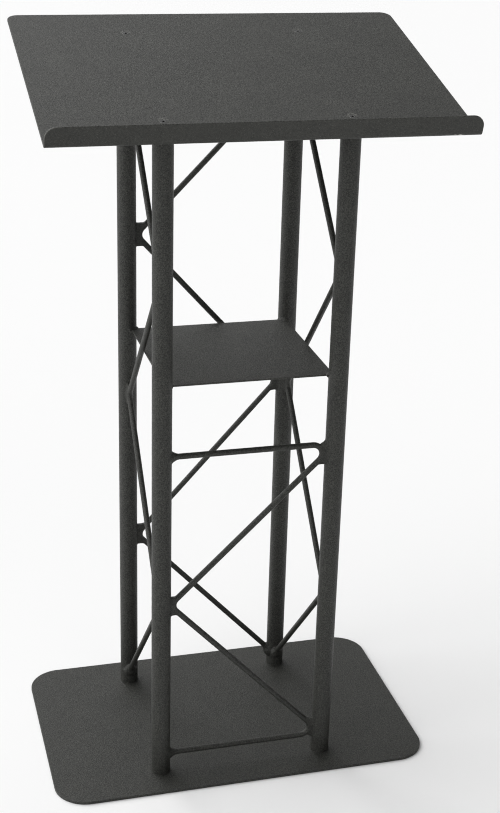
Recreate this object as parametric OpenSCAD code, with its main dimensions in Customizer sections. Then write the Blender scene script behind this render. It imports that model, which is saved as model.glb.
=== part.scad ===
// Truss lectern: floor plate, four round uprights, bent truss bars, shelf and sloped top panel.
// Origin: centre of the floor plate's underside. +Z is up and the reader stands on the -Y side.

/* [Base plate] */
// Width of the floor plate, left to right
base_w = 652; // [600:1:720]
// Depth of the floor plate, front to back
base_d = 412; // [390:1:480]
// Thickness of the floor plate
base_t = 5; // [4:0.5:10]
// Radius of the floor plate's corners
base_corner_r = 55; // [20:1:90]

/* [Uprights] */
// Outside diameter of the upright tubes
tube_d = 31.75; // [28:0.25:36]
// Wall thickness of the upright tubes
tube_wall = 1.6; // [1.2:0.1:3]
// Left-to-right spacing of the tube centres
tube_span_x = 285; // [260:1:320]
// Front-to-back spacing of the tube centres
tube_span_y = 290; // [270:1:330]
// Length of the tapped plug inside each end of a tube
plug_length = 22; // [18:1:40]

/* [Top panel] */
// Width of the top panel, left to right
panel_w = 645; // [600:1:720]
// Length of the top panel along its slope, ledge face to rear edge
panel_length = 443; // [420:1:500]
// Thickness of the panel sheet
panel_t = 3; // [3:0.5:4]
// Slope of the panel, from level
panel_slope = 15.8; // [8:0.1:24]
// Front-to-back position of the panel's lower front corner
panel_front_y = -212.5; // [-225:0.5:-200]
// Height of the panel's lower front corner
panel_front_z = 1098; // [1060:1:1160]
// Height of the turned-up ledge, square to the panel
ledge_h = 33; // [20:1:50]
// Outside radius of the bend between panel and ledge
panel_bend_r = 6; // [5:0.5:9]
// Radius of the rear corners of the panel
panel_corner_r = 18; // [8:1:40]
// Radius of the upper corners of the ledge
ledge_corner_r = 18; // [6:1:19]

/* [Shelf] */
// Width of the shelf, left to right
shelf_w = 274; // [272:1:275]
// Depth of the shelf, front to back
shelf_d = 274; // [274:1:278]
// Thickness of the shelf
shelf_t = 3; // [2:0.5:5]
// Height of the shelf's upper face
shelf_z = 708.5; // [650:0.5:780]

/* [Truss bars] */
// Diameter of the truss bars
rod_d = 9.5; // [8:0.5:10]
// Centre-line radius of the bends in the zigzag bars
rod_bend_r = 16; // [10:0.5:18]
// Centre-line radius of the bends where the front bar turns into a rail
rail_bend_r = 16; // [12:0.5:18]
// Height at which each bar starts from its first tube
rod_start_z = 38; // [34:1:50]
// Heights of the three bends in each zigzag bar
rod_bend_z = [310, 591, 871];
// Height at which each zigzag bar ends
rod_end_z = 1133; // [1110:1:1140]
// Height of the middle bend in the front bar
front_bend_z = 325; // [300:1:340]

/* [Screws] */
// Thread diameter of the socket screws
screw_d = 6; // [5:1:6]
// Length of the socket screws, head included
screw_length = 20; // [16:1:22]
// Width across flats of the hexagon socket
socket_flats = 4; // [3:0.5:4]

/* [Hidden] */
$fn = 64;

// Colours
COAT = [0.24, 0.24, 0.235];
COAT_LIGHT = [0.32, 0.32, 0.31];
WELD = [0.20, 0.20, 0.20];
BARE_STEEL = [0.62, 0.62, 0.60];
BLACK_OXIDE = [0.12, 0.12, 0.13];

// Tube places: -1 is left or front, +1 is right or rear
LEFT = -1;
RIGHT = 1;
FRONT = -1;
REAR = 1;
half_x = tube_span_x / 2;
half_y = tube_span_y / 2;
tube_r = tube_d / 2;
tube_top_z = panel_front_z + panel_length;   // above the highest cut on any tube

// Clearances
plug_gap = 0.05;      // plug to tube bore
thread_gap = 0.05;    // screw to tapped hole
hole_gap = 0.3;       // screw to clearance hole
weld_gap = 0.3;       // bar to tube, filled by the weld
bend_gap = 1.6;       // added to it at the bends of the rear and side bars

// Screw head: a 90-degree countersink with a thin straight land
head_r = 5.7;
head_land = 0.3;
socket_depth = 2;
screw_axis_depth = 12;    // below the panel's face, where a panel screw crosses its tube's axis

// Bar joints: each leg stops just short of its bend, and a barely raised ring joins the two
leg_gap = 0.1;
ring_rise = 0.05;
ring_length = 1;

// Weld sizes
weld_web_t = 8;           // thickness of the weld web inside a bend
// Ends of a web, from the middle of its bend: height on the tube, then height at the bar and its
// distance from the tube
ZIGZAG_WEB = [20, 20, 15];
RAIL_WEB = [22, 16, 8.5];         // between the tube and the rail
RAIL_LEG_WEB = [18, 18, 11];      // between the tube and the diagonal
weld_cone_length = 7.5;   // reach of an end weld along the bar, from the tube
weld_cone_root = 3.75;    // depth of an end weld's root behind the tube's surface
weld_cone_root_r = 12.5;  // radius of an end weld at its root
weld_cone_rise = 0.4;     // how far an end weld's thin end stands off the bar
shelf_weld_r = 4.5;       // radius of the weld bead at a shelf corner
shelf_weld_sweep = 136;   // angle that the bead covers round the tube

// From a tube's axis to a bar's centre line, where a bend reaches the tube
touch_gap = tube_r + weld_gap + rod_d / 2;

// Flat plate on the XY plane, centred, with chosen corners rounded
module rounded_plate(w, d, r, t) {
    linear_extrude(t) {
        square([w - 2 * r, d], center = true);
        square([w, d - 2 * r], center = true);
        for (x = [-1, 1], y = [-1, 1])
            translate([x * (w / 2 - r), y * (d / 2 - r)]) circle(r);
    }
}

// Tab on the XY plane, centred on x = 0: square foot at y = low, rounded corners at y = high
module tab_outline(w, low, high, r) {
    translate([-w / 2, low]) square([w, high - low - r]);
    translate([-w / 2 + r, low]) square([w - 2 * r, high - low]);
    for (x = [-1, 1]) translate([x * (w / 2 - r), high - r]) circle(r);
}

// Moves children from the panel's own axes (X, up the slope, out of the face) to the row's axes
module panel_frame() {
    translate([0, panel_front_y, panel_front_z]) rotate([panel_slope, 0, 0]) children();
}

// Everything on the upper side of the panel's underside
module above_underside() {
    panel_frame() translate([-panel_w, -panel_length, 0]) cube([2 * panel_w, 3 * panel_length, tube_top_z]);
}

// Height of the panel's underside over a tube row
function underside_z(side) =
    panel_front_z + (side * half_y - panel_front_y) * tan(panel_slope);

// Place of a panel screw up the slope, over a tube row
function screw_slope(side) =
    (side * half_y - panel_front_y) / cos(panel_slope) + (panel_t - screw_axis_depth) * tan(panel_slope);

// Screw along -Z with its head's face at z = 0; grow widens it into a clearance shape
module screw_body(grow = 0) {
    translate([0, 0, -head_land]) cylinder(h = head_land, r = head_r + grow);
    translate([0, 0, -head_land - (head_r - screw_d / 2)])
        cylinder(h = head_r - screw_d / 2, r1 = screw_d / 2 + grow, r2 = head_r + grow);
    translate([0, 0, -screw_length]) cylinder(h = screw_length - head_land, d = screw_d + 2 * grow);
}

module socket_screw() {
    difference() {
        screw_body();
        translate([0, 0, -socket_depth])
            cylinder(h = 2 * socket_depth, d = socket_flats / cos(30), $fn = 6);
    }
}

module tube_solid(x, y, r) {
    translate([x * half_x, y * half_y, base_t]) cylinder(h = tube_top_z - base_t, r = r);
}

module upright(x, y) {
    color(COAT) difference() {
        tube_solid(x, y, tube_r);
        translate([x * half_x, y * half_y, 0]) cylinder(h = 2 * tube_top_z, r = tube_r - tube_wall);
        above_underside();
    }
}

module base_plug(x, y) {
    color(BARE_STEEL) translate([x * half_x, y * half_y, base_t]) difference() {
        cylinder(h = plug_length, r = tube_r - tube_wall - plug_gap);
        translate([0, 0, -plug_length]) cylinder(h = 3 * plug_length, d = screw_d + 2 * thread_gap);
    }
}

module top_plug(x, y) {
    color(BARE_STEEL) difference() {
        translate([x * half_x, y * half_y, underside_z(y) - plug_length])
            cylinder(h = 2 * plug_length, r = tube_r - tube_wall - plug_gap);
        above_underside();
        panel_frame() translate([x * half_x, screw_slope(y), -3 * plug_length])
            cylinder(h = 4 * plug_length, d = screw_d + 2 * thread_gap);
    }
}

module base_screws() {
    color(BLACK_OXIDE) for (x = [LEFT, RIGHT], y = [FRONT, REAR])
        translate([x * half_x, y * half_y, 0]) mirror([0, 0, 1]) socket_screw();
}

module panel_screws() {
    color(BLACK_OXIDE) panel_frame() for (x = [LEFT, RIGHT], y = [FRONT, REAR])
        translate([x * half_x, screw_slope(y), panel_t]) socket_screw();
}

module base_plate() {
    color(COAT) difference() {
        rounded_plate(base_w, base_d, base_corner_r, base_t);
        for (x = [LEFT, RIGHT], y = [FRONT, REAR])
            translate([x * half_x, y * half_y, 0]) mirror([0, 0, 1]) screw_body(hole_gap);
    }
}

// Quarter ring that joins the panel to its ledge
module panel_bend() {
    translate([-panel_w / 2, 0, 0]) rotate([90, 0, 90]) linear_extrude(panel_w) intersection() {
        translate([panel_bend_r, panel_bend_r]) difference() {
            circle(panel_bend_r);
            circle(panel_bend_r - panel_t);
        }
        square(panel_bend_r);
    }
}

module top_panel() {
    color(COAT_LIGHT) panel_frame() difference() {
        union() {
            linear_extrude(panel_t) tab_outline(panel_w, panel_bend_r, panel_length, panel_corner_r);
            translate([0, panel_t, 0]) rotate([90, 0, 0])
                linear_extrude(panel_t) tab_outline(panel_w, panel_bend_r, ledge_h, ledge_corner_r);
            panel_bend();
        }
        for (x = [LEFT, RIGHT], y = [FRONT, REAR])
            translate([x * half_x, screw_slope(y), panel_t]) screw_body(hole_gap);
    }
}

module shelf_plate() {
    color(COAT_LIGHT) difference() {
        translate([-shelf_w / 2, -shelf_d / 2, shelf_z - shelf_t]) cube([shelf_w, shelf_d, shelf_t]);
        for (x = [LEFT, RIGHT], y = [FRONT, REAR]) tube_solid(x, y, tube_r + weld_gap);
    }
}

// A bar is drawn on the XY plane: X runs across its face of the lectern and Y is height.
function heading(a, b) = atan2(b[1] - a[1], b[0] - a[0]);
function turn(p, i) =
    let (t = heading(p[i], p[i + 1]) - heading(p[i - 1], p[i]))
    t > 180 ? t - 360 : t < -180 ? t + 360 : t;
// Length of straight that a bend of radius r takes up before and after corner i
function setback(p, r, i) =
    (i == 0 || i == len(p) - 1) ? 0 : r[i] * tan(abs(turn(p, i)) / 2);

module bar_leg(a, b, trim_a, trim_b) {
    translate([a[0], a[1], 0]) rotate([0, 0, heading(a, b)]) translate([trim_a + leg_gap, 0, 0])
        rotate([0, 90, 0]) cylinder(h = norm(b - a) - trim_a - trim_b - 2 * leg_gap, d = rod_d);
}

// Faint upset ring where a leg runs into a bend, this far along the line from a to b
module bar_ring(a, b, along) {
    translate([a[0], a[1], 0]) rotate([0, 0, heading(a, b)]) translate([along - ring_length / 2, 0, 0])
        rotate([0, 90, 0]) cylinder(h = ring_length, d = rod_d + 2 * ring_rise);
}

module bar_bend(p, r, i) {
    bend = turn(p, i);
    side = bend > 0 ? 1 : -1;
    translate([p[i][0], p[i][1], 0]) rotate([0, 0, heading(p[i - 1], p[i])])
        translate([-setback(p, r, i), side * r[i], 0]) mirror([0, side > 0 ? 0 : 1, 0])
            rotate([0, 0, -90]) rotate_extrude(angle = abs(bend)) translate([r[i], 0]) circle(d = rod_d);
}

// Round bar along the corner points p, with bend radius r[i] at corner i
module bent_bar(p, r) {
    for (i = [0 : len(p) - 2])
        bar_leg(p[i], p[i + 1], setback(p, r, i), setback(p, r, i + 1));
    for (i = [1 : len(p) - 2]) {
        bar_bend(p, r, i);
        bar_ring(p[i], p[i - 1], setback(p, r, i));
        bar_ring(p[i], p[i + 1], setback(p, r, i));
    }
}

// Corner point of a right-angled bend whose bar stops this gap short of touching a tube at distance half
function zigzag_corner(half, gap) = half - touch_gap - gap + rod_bend_r * (1 / sin(45) - 1);

// Corner point of a rail bend: the leg leaves it at the angle of the line to (far, dz)
function rail_corner(half, half_angle) =
    half - touch_gap + rail_bend_r * (1 / tan(half_angle) - 1);

// Zigzag bar on a face whose tubes are half apart from its middle; it starts on the + side
function zigzag_points(half) =
    let (c = zigzag_corner(half, bend_gap))
    [[half, rod_start_z - (half - c)], [-c, rod_bend_z[0]], [c, rod_bend_z[1]],
     [-c, rod_bend_z[2]], [half, rod_end_z + (half - c)]];
ZIGZAG_RADII = [0, rod_bend_r, rod_bend_r, rod_bend_r, 0];

// Front bar: rail, diagonal to the left tube, diagonal back, rail under the shelf
rail_top_z = rod_bend_z[1];
front_corner = zigzag_corner(half_x, 0);
low_half_angle = atan2(front_bend_z - rod_start_z, half_x + front_corner) / 2;
high_half_angle = atan2(rail_top_z - front_bend_z, half_x + front_corner) / 2;
FRONT_POINTS = [
    [-half_x, rod_start_z],
    [rail_corner(half_x, low_half_angle), rod_start_z],
    [-front_corner, front_bend_z],
    [rail_corner(half_x, high_half_angle), rail_top_z],
    [-half_x, rail_top_z]
];
FRONT_RADII = [0, rail_bend_r, rod_bend_r, rail_bend_r, 0];

// Stands a face's drawing upright; side faces also turn so that X becomes front-to-back
module stand_front_or_rear(y) {
    translate([0, y * half_y, 0]) rotate([90, 0, 0]) children();
}
module stand_side(x) {
    translate([x * half_x, 0, 0]) rotate([0, 0, 90]) rotate([90, 0, 0]) children();
}

// The two tubes of a face, in that face's drawing
module face_tubes(half, r) {
    for (side = [-1, 1]) translate([side * half, 0, 0]) rotate([-90, 0, 0]) cylinder(h = tube_top_z, r = r);
}

module truss_rod(p, r, half) {
    color(COAT) difference() {
        bent_bar(p, r);
        face_tubes(half, tube_r + weld_gap);
    }
}

// Web of weld metal in the two corners between a bend and its tube
module bend_weld(side, half, z, above, below) {
    translate([side * half, z, -weld_web_t / 2]) mirror([side > 0 ? 1 : 0, 0, 0])
        linear_extrude(weld_web_t) polygon([
            [0, -below[0]], [tube_r, -below[0]], [tube_r + below[2], -below[1]], [touch_gap, 0],
            [tube_r + above[2], above[1]], [tube_r, above[0]], [0, above[0]]]);
}

// Cone of weld metal round the end of a bar that runs at an angle into a tube
module end_weld(side, half, z, angle) {
    translate([side * half, z, 0]) rotate([0, 0, side > 0 ? 180 - angle : angle]) rotate([0, 90, 0])
        translate([0, 0, tube_r - weld_cone_root])
            cylinder(h = weld_cone_root + weld_cone_length, r1 = weld_cone_root_r,
                     r2 = rod_d / 2 + weld_cone_rise);
}

module weld_metal(p, r, half) {
    color(WELD) difference() {
        children();
        bent_bar(p, r);
        face_tubes(half, tube_r);
    }
}

module zigzag_welds(half) {
    p = zigzag_points(half);
    weld_metal(p, ZIGZAG_RADII, half) union() {
        for (i = [1 : 3]) bend_weld(i == 2 ? 1 : -1, half, rod_bend_z[i - 1], ZIGZAG_WEB, ZIGZAG_WEB);
        end_weld(1, half, p[0][1], heading(p[0], p[1]) - 90);
        end_weld(1, half, p[4][1], 90 - heading(p[3], p[4]));
    }
}

module front_welds() {
    weld_metal(FRONT_POINTS, FRONT_RADII, half_x) union() {
        bend_weld(-1, half_x, front_bend_z, ZIGZAG_WEB, ZIGZAG_WEB);
        bend_weld(1, half_x, rod_start_z + rail_bend_r, RAIL_LEG_WEB, RAIL_WEB);
        bend_weld(1, half_x, rail_top_z - rail_bend_r, RAIL_WEB, RAIL_LEG_WEB);
        for (z = [rod_start_z, rail_top_z]) end_weld(-1, half_x, z, 0);
    }
}

// Beads under the shelf's corners, flush with its upper face
module shelf_welds() {
    color(WELD) difference() {
        for (x = [LEFT, RIGHT], y = [FRONT, REAR])
            translate([x * half_x, y * half_y, shelf_z - shelf_t / 2])
                rotate([0, 0, atan2(-y, -x) - shelf_weld_sweep / 2])
                    rotate_extrude(angle = shelf_weld_sweep) translate([tube_r, 0]) circle(shelf_weld_r);
        for (x = [LEFT, RIGHT], y = [FRONT, REAR]) tube_solid(x, y, tube_r);
        shelf_plate();
        translate([-shelf_w, -shelf_d, shelf_z]) cube([2 * shelf_w, 2 * shelf_d, 2 * shelf_weld_r]);
    }
}

base_plate();
upright(LEFT, FRONT);  // upright_front_left
upright(RIGHT, FRONT);  // upright_front_right
upright(LEFT, REAR);  // upright_rear_left
upright(RIGHT, REAR);  // upright_rear_right
base_plug(LEFT, FRONT);  // base_plug_front_left
base_plug(RIGHT, FRONT);  // base_plug_front_right
base_plug(LEFT, REAR);  // base_plug_rear_left
base_plug(RIGHT, REAR);  // base_plug_rear_right
top_plug(LEFT, FRONT);  // top_plug_front_left
top_plug(RIGHT, FRONT);  // top_plug_front_right
top_plug(LEFT, REAR);  // top_plug_rear_left
top_plug(RIGHT, REAR);  // top_plug_rear_right
base_screws();
panel_screws();
top_panel();
shelf_plate();
stand_front_or_rear(REAR) truss_rod(zigzag_points(half_x), ZIGZAG_RADII, half_x);  // rear_truss_rod
stand_side(LEFT) truss_rod(zigzag_points(half_y), ZIGZAG_RADII, half_y);  // left_truss_rod
stand_side(RIGHT) truss_rod(zigzag_points(half_y), ZIGZAG_RADII, half_y);  // right_truss_rod
stand_front_or_rear(FRONT) truss_rod(FRONT_POINTS, FRONT_RADII, half_x);  // front_truss_rod
stand_front_or_rear(REAR) zigzag_welds(half_x);  // rear_rod_welds
stand_side(LEFT) zigzag_welds(half_y);  // left_rod_welds
stand_side(RIGHT) zigzag_welds(half_y);  // right_rod_welds
stand_front_or_rear(FRONT) front_welds();  // front_rod_welds
shelf_welds();
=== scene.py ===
"""Looks of the truss lectern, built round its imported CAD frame. Lengths are in metres, +Z is up."""

import math

import bmesh
import bpy
import numpy as np
from mathutils import Matrix, Vector


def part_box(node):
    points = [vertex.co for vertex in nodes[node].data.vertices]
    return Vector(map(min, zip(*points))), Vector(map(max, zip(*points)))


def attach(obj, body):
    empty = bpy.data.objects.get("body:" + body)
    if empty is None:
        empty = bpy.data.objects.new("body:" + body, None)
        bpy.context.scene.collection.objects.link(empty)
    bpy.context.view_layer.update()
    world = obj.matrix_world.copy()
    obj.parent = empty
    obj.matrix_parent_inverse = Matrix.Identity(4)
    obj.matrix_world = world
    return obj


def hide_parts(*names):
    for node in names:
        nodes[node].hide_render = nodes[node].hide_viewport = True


MM = 0.001

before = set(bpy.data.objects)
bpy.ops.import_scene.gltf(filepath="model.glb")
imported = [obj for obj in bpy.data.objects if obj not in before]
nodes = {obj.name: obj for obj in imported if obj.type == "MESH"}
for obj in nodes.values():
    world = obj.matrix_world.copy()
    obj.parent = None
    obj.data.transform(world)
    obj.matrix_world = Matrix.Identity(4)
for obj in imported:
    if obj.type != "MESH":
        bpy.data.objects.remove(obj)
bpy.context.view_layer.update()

# ---------------------------------------------------------------- sizes, as in the CAD model
PANEL_T = 3 * MM
PANEL_LENGTH = 443 * MM
PANEL_SLOPE = math.radians(15.8)
PANEL_BEND_R = 6 * MM
PANEL_CORNER_R = 18 * MM
LEDGE_H = 33 * MM
LEDGE_CORNER_R = 18 * MM
BASE_CORNER_R = 55 * MM
WELD_GAP = 0.3 * MM            # between a tube and what is welded to it
BEND_GAP = 1.6 * MM            # added to it at the bends of the rear and side bars
ROD_R = 4.75 * MM
ROD_BEND_R = 16 * MM
RAIL_BEND_R = 16 * MM
ROD_START_Z = 38 * MM
ROD_BEND_Z = [310 * MM, 591 * MM, 871 * MM]
ROD_END_Z = 1133 * MM
FRONT_BEND_Z = 325 * MM
SCREW_HEAD_R = 5.7 * MM
SCREW_SHANK_R = 3 * MM
SCREW_LENGTH = 20 * MM
SCREW_LAND = 0.3 * MM
SCREW_HOLE_GAP = 0.3 * MM
SCREW_AXIS_DEPTH = 12 * MM
SOCKET_FLATS = 4 * MM
SOCKET_DEPTH = 2 * MM

EDGE_R = 0.7 * MM              # rounding that the coat gives to the plates' cut edges
SHELF_EDGE_R = 0.5 * MM
BAR_END_SINK = 0.8 * MM        # how far a bar's end stands inside the tube's wall

# Tube axes and radius, measured on the frame
TUBE_NAMES = {
    (-1, -1): "upright_front_left",
    (1, -1): "upright_front_right",
    (-1, 1): "upright_rear_left",
    (1, 1): "upright_rear_right",
}
tube_axis = {}
for place, name in TUBE_NAMES.items():
    low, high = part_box(name)
    tube_axis[place] = ((low.x + high.x) / 2, (low.y + high.y) / 2)
TUBE_R = (high.x - low.x) / 2
HALF_X = tube_axis[(1, 1)][0]
HALF_Y = tube_axis[(1, 1)][1]
TOUCH_GAP = TUBE_R + WELD_GAP + ROD_R     # from a tube's axis to the middle of a bar beside it

# The panel's own axes: X, up the slope from its lower front corner, out of its face
panel_low, panel_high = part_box("top_panel")
panel_origin = Vector((
    0.0,
    panel_low.y + LEDGE_H * math.sin(PANEL_SLOPE),
    panel_high.z - PANEL_LENGTH * math.sin(PANEL_SLOPE) - PANEL_T * math.cos(PANEL_SLOPE),
))
panel_matrix = Matrix.Translation(panel_origin) @ Matrix.Rotation(PANEL_SLOPE, 4, "X")


# ---------------------------------------------------------------- camera
CAMERA_PLACE = Vector((-0.5763, -2.2000, 1.5372))
CAMERA_RIGHT = Vector((0.96553, -0.25896, 0.02612))
CAMERA_UP = Vector((0.07452, 0.37122, 0.92555))
CAMERA_LENS = 65.0
SENSOR_WIDTH = 36.0


def add_camera():
    data = bpy.data.cameras.new("camera")
    data.lens = CAMERA_LENS
    data.sensor_width = SENSOR_WIDTH
    data.clip_end = 100.0
    camera = bpy.data.objects.new("camera", data)
    bpy.context.scene.collection.objects.link(camera)
    backward = CAMERA_RIGHT.cross(CAMERA_UP).normalized()
    up = backward.cross(CAMERA_RIGHT).normalized()
    turn = Matrix((CAMERA_RIGHT.normalized(), up, backward)).transposed()
    camera.matrix_world = Matrix.Translation(CAMERA_PLACE) @ turn.to_4x4()
    bpy.context.scene.camera = camera


add_camera()


# ---------------------------------------------------------------- material helpers
# Noise scales of the coat, about as many lumps a metre
FINE_SCALE = 1900.0            # finest relief
GLINT_SCALE = 700.0            # painted glints, as pale grains
SAND_SCALE = 640.0             # the coat's sand
CRUMB_SCALE = 380.0            # and its coarser crumbs
CHIP_SCALE = 330.0
CLOUD_SCALE = 95.0             # faint unevenness, and the ripple of welds
RUB_SCALE = 60.0               # where edges are rubbed
PATCH_SCALE = 14.0             # broad unevenness
MARK_SCALE = 450.0             # turning marks of bare metal
STAIN_SCALE = 90.0             # and its stains
MARK_SQUASH = 14.0             # marks are this much narrower along Z where the metal is turned

GRAIN_SPREAD = 0.08            # noise this far from its middle is fully dark or light
CRUMB_SHARE = 0.35             # of the grain, the rest being sand
FINE_SHARE = 0.25              # of the relief, the rest being grain
# Painted shade of the coat's relief: the grain's contrast in colour, set by facing
HANGING_GRAIN = 0.35           # grain contrast on faces that hang over
UPRIGHT_GRAIN = 0.9            # and on upright ones
LYING_GRAIN = 0.4              # added on faces that lie upwards
GLINT_SHARE = 0.4
RELIEF = 1.3 * MM
COAT_SPECULAR = 0.35
GRAIN_TOP_ROUGHNESS = 0.42
HOLLOW_ROUGHNESS = 0.56
RUBBED_SHINE = 0.14            # rubbed edges are this much less rough

# Edges: the pale edges these masks give are partly wear and partly painted highlight, and on the screws
# painted glints
EDGE_SAMPLES = 6
WEAR_REACH = 1.1 * MM          # width of the wear and painted highlight along an edge
BARE_REACH = 1.4 * MM          # and of the barer wear and painted highlight at a few places
METAL_WEAR_REACH = 0.6 * MM
WORN_AND_HIGHLIT_SHARE = 0.7
METAL_WORN_AND_GLINT_SHARE = 0.8
METAL_RELIEF = 0.05 * MM

# Pale colours: the glints are painted highlights, and the rubbed, chipped and worn colours are partly
# wear and partly painted highlights and glints along edges
PAINTED_GLINT_COLOUR = (0.16, 0.16, 0.150, 1.0)
RUBBED_AND_HIGHLIGHT_COLOUR = (0.15, 0.15, 0.142, 1.0)
CHIP_AND_HIGHLIGHT_COLOUR = (0.34, 0.34, 0.31, 1.0)
WORN_AND_GLINT_METAL_COLOUR = (0.65, 0.65, 0.62, 1.0)


def feed(tree, socket, value):
    """Links a socket to another one, or sets it to a constant."""
    if isinstance(value, bpy.types.NodeSocket):
        tree.links.new(value, socket)
    else:
        socket.default_value = value


def add_node(tree, kind, settings=None, **inputs):
    """New node; settings are its properties, inputs its sockets by name, or i0, i1... by number."""
    node = tree.nodes.new(kind)
    for key, value in (settings or {}).items():
        setattr(node, key, value)
    for key, value in inputs.items():
        numbered = key[0] == "i" and key[1:].isdigit()
        feed(tree, node.inputs[int(key[1:]) if numbered else key], value)
    return node


def value_ramp(tree, source, low, high, to_low=0.0, to_high=1.0):
    """Maps low..high of a value to to_low..to_high, clamped."""
    node = add_node(tree, "ShaderNodeMapRange", {"clamp": True})
    tree.links.new(source, node.inputs["Value"])
    node.inputs["From Min"].default_value = low
    node.inputs["From Max"].default_value = high
    node.inputs["To Min"].default_value = to_low
    node.inputs["To Max"].default_value = to_high
    return node.outputs["Result"]


def maths(tree, operation, a, b):
    return add_node(tree, "ShaderNodeMath", {"operation": operation}, i0=a, i1=b).outputs[0]


def blend(tree, a, b, share):
    """Mixes two values, with that share of the second."""
    return maths(tree, "ADD", maths(tree, "MULTIPLY", a, 1 - share), maths(tree, "MULTIPLY", b, share))


def mix_colour(tree, factor, a, b):
    """Mix node set to colours: its inputs 6 and 7 and its output 2 are the colour sockets."""
    node = add_node(tree, "ShaderNodeMix", {"data_type": "RGBA"}, i0=factor, i6=a, i7=b)
    return node.outputs[2]


def noise(tree, place, scale, detail=2.0, roughness=0.5):
    node = add_node(tree, "ShaderNodeTexNoise", Vector=place, Scale=scale, Detail=detail,
                    Roughness=roughness)
    return node.outputs["Fac"]


def edge_mask(tree, radius, gain):
    """1 along outer and inner edges narrower than radius, 0 on open faces."""
    soft = add_node(tree, "ShaderNodeBevel", {"samples": EDGE_SAMPLES}, Radius=radius).outputs["Normal"]
    hard = add_node(tree, "ShaderNodeNewGeometry").outputs["True Normal"]
    dot = add_node(tree, "ShaderNodeVectorMath", {"operation": "DOT_PRODUCT"}, i0=soft, i1=hard)
    away = maths(tree, "SUBTRACT", 1.0, dot.outputs["Value"])
    return value_ramp(tree, away, 0.01, gain)


def nearness(tree, place, middle, reach):
    """1 about a point, fading to 0 at the given reach along X, Y and Z."""
    offset = add_node(tree, "ShaderNodeVectorMath", {"operation": "SUBTRACT"}, i0=place, i1=middle)
    squashed = add_node(tree, "ShaderNodeMapping", i0=offset.outputs["Vector"])
    squashed.inputs["Scale"].default_value = [1 / length for length in reach]
    far = add_node(tree, "ShaderNodeVectorMath", {"operation": "LENGTH"}, i0=squashed.outputs["Vector"])
    return value_ramp(tree, far.outputs["Value"], 1.0, 0.7)


def chips_and_glints(tree, place, places):
    """Small chips in the coat about some points, partly painted glints: each a point, its reach, and
    how bare it is.
    """
    chipped_and_glinting = 0.0
    for middle, reach, bare in places:
        near = maths(tree, "MULTIPLY", nearness(tree, place, middle, reach), bare)
        chipped_and_glinting = maths(tree, "MAXIMUM", chipped_and_glinting, near)
    broken = value_ramp(tree, noise(tree, place, CHIP_SCALE), 0.47, 0.56)
    return maths(tree, "MULTIPLY", chipped_and_glinting, broken)


def painted_grain_shade_by_facing(tree):
    """Painted shading of the grain by facing: its contrast is strongest on faces that lie upwards,
    towards the light, and weakest on those that hang over.
    """
    facing = add_node(tree, "ShaderNodeNewGeometry").outputs["True Normal"]
    upward = add_node(tree, "ShaderNodeSeparateXYZ", i0=facing).outputs["Z"]
    hanging = value_ramp(tree, upward, -0.2, 0.0, HANGING_GRAIN, UPRIGHT_GRAIN)
    return maths(tree, "ADD", hanging, value_ramp(tree, upward, 0.0, 1.0, 0.0, LYING_GRAIN))


def new_material(name):
    """Empty node material, with the row's own frame in metres as its coordinates."""
    material = bpy.data.materials.new(name)
    material.use_nodes = True
    tree = material.node_tree
    tree.nodes.clear()
    return material, tree, add_node(tree, "ShaderNodeTexCoord").outputs["Object"]


def finish_material(tree, shader, colour, rough, bump):
    tree.links.new(colour, shader.inputs["Base Color"])
    tree.links.new(rough, shader.inputs["Roughness"])
    tree.links.new(bump.outputs["Normal"], shader.inputs["Normal"])
    output = add_node(tree, "ShaderNodeOutputMaterial")
    tree.links.new(shader.outputs["BSDF"], output.inputs["Surface"])


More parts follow.
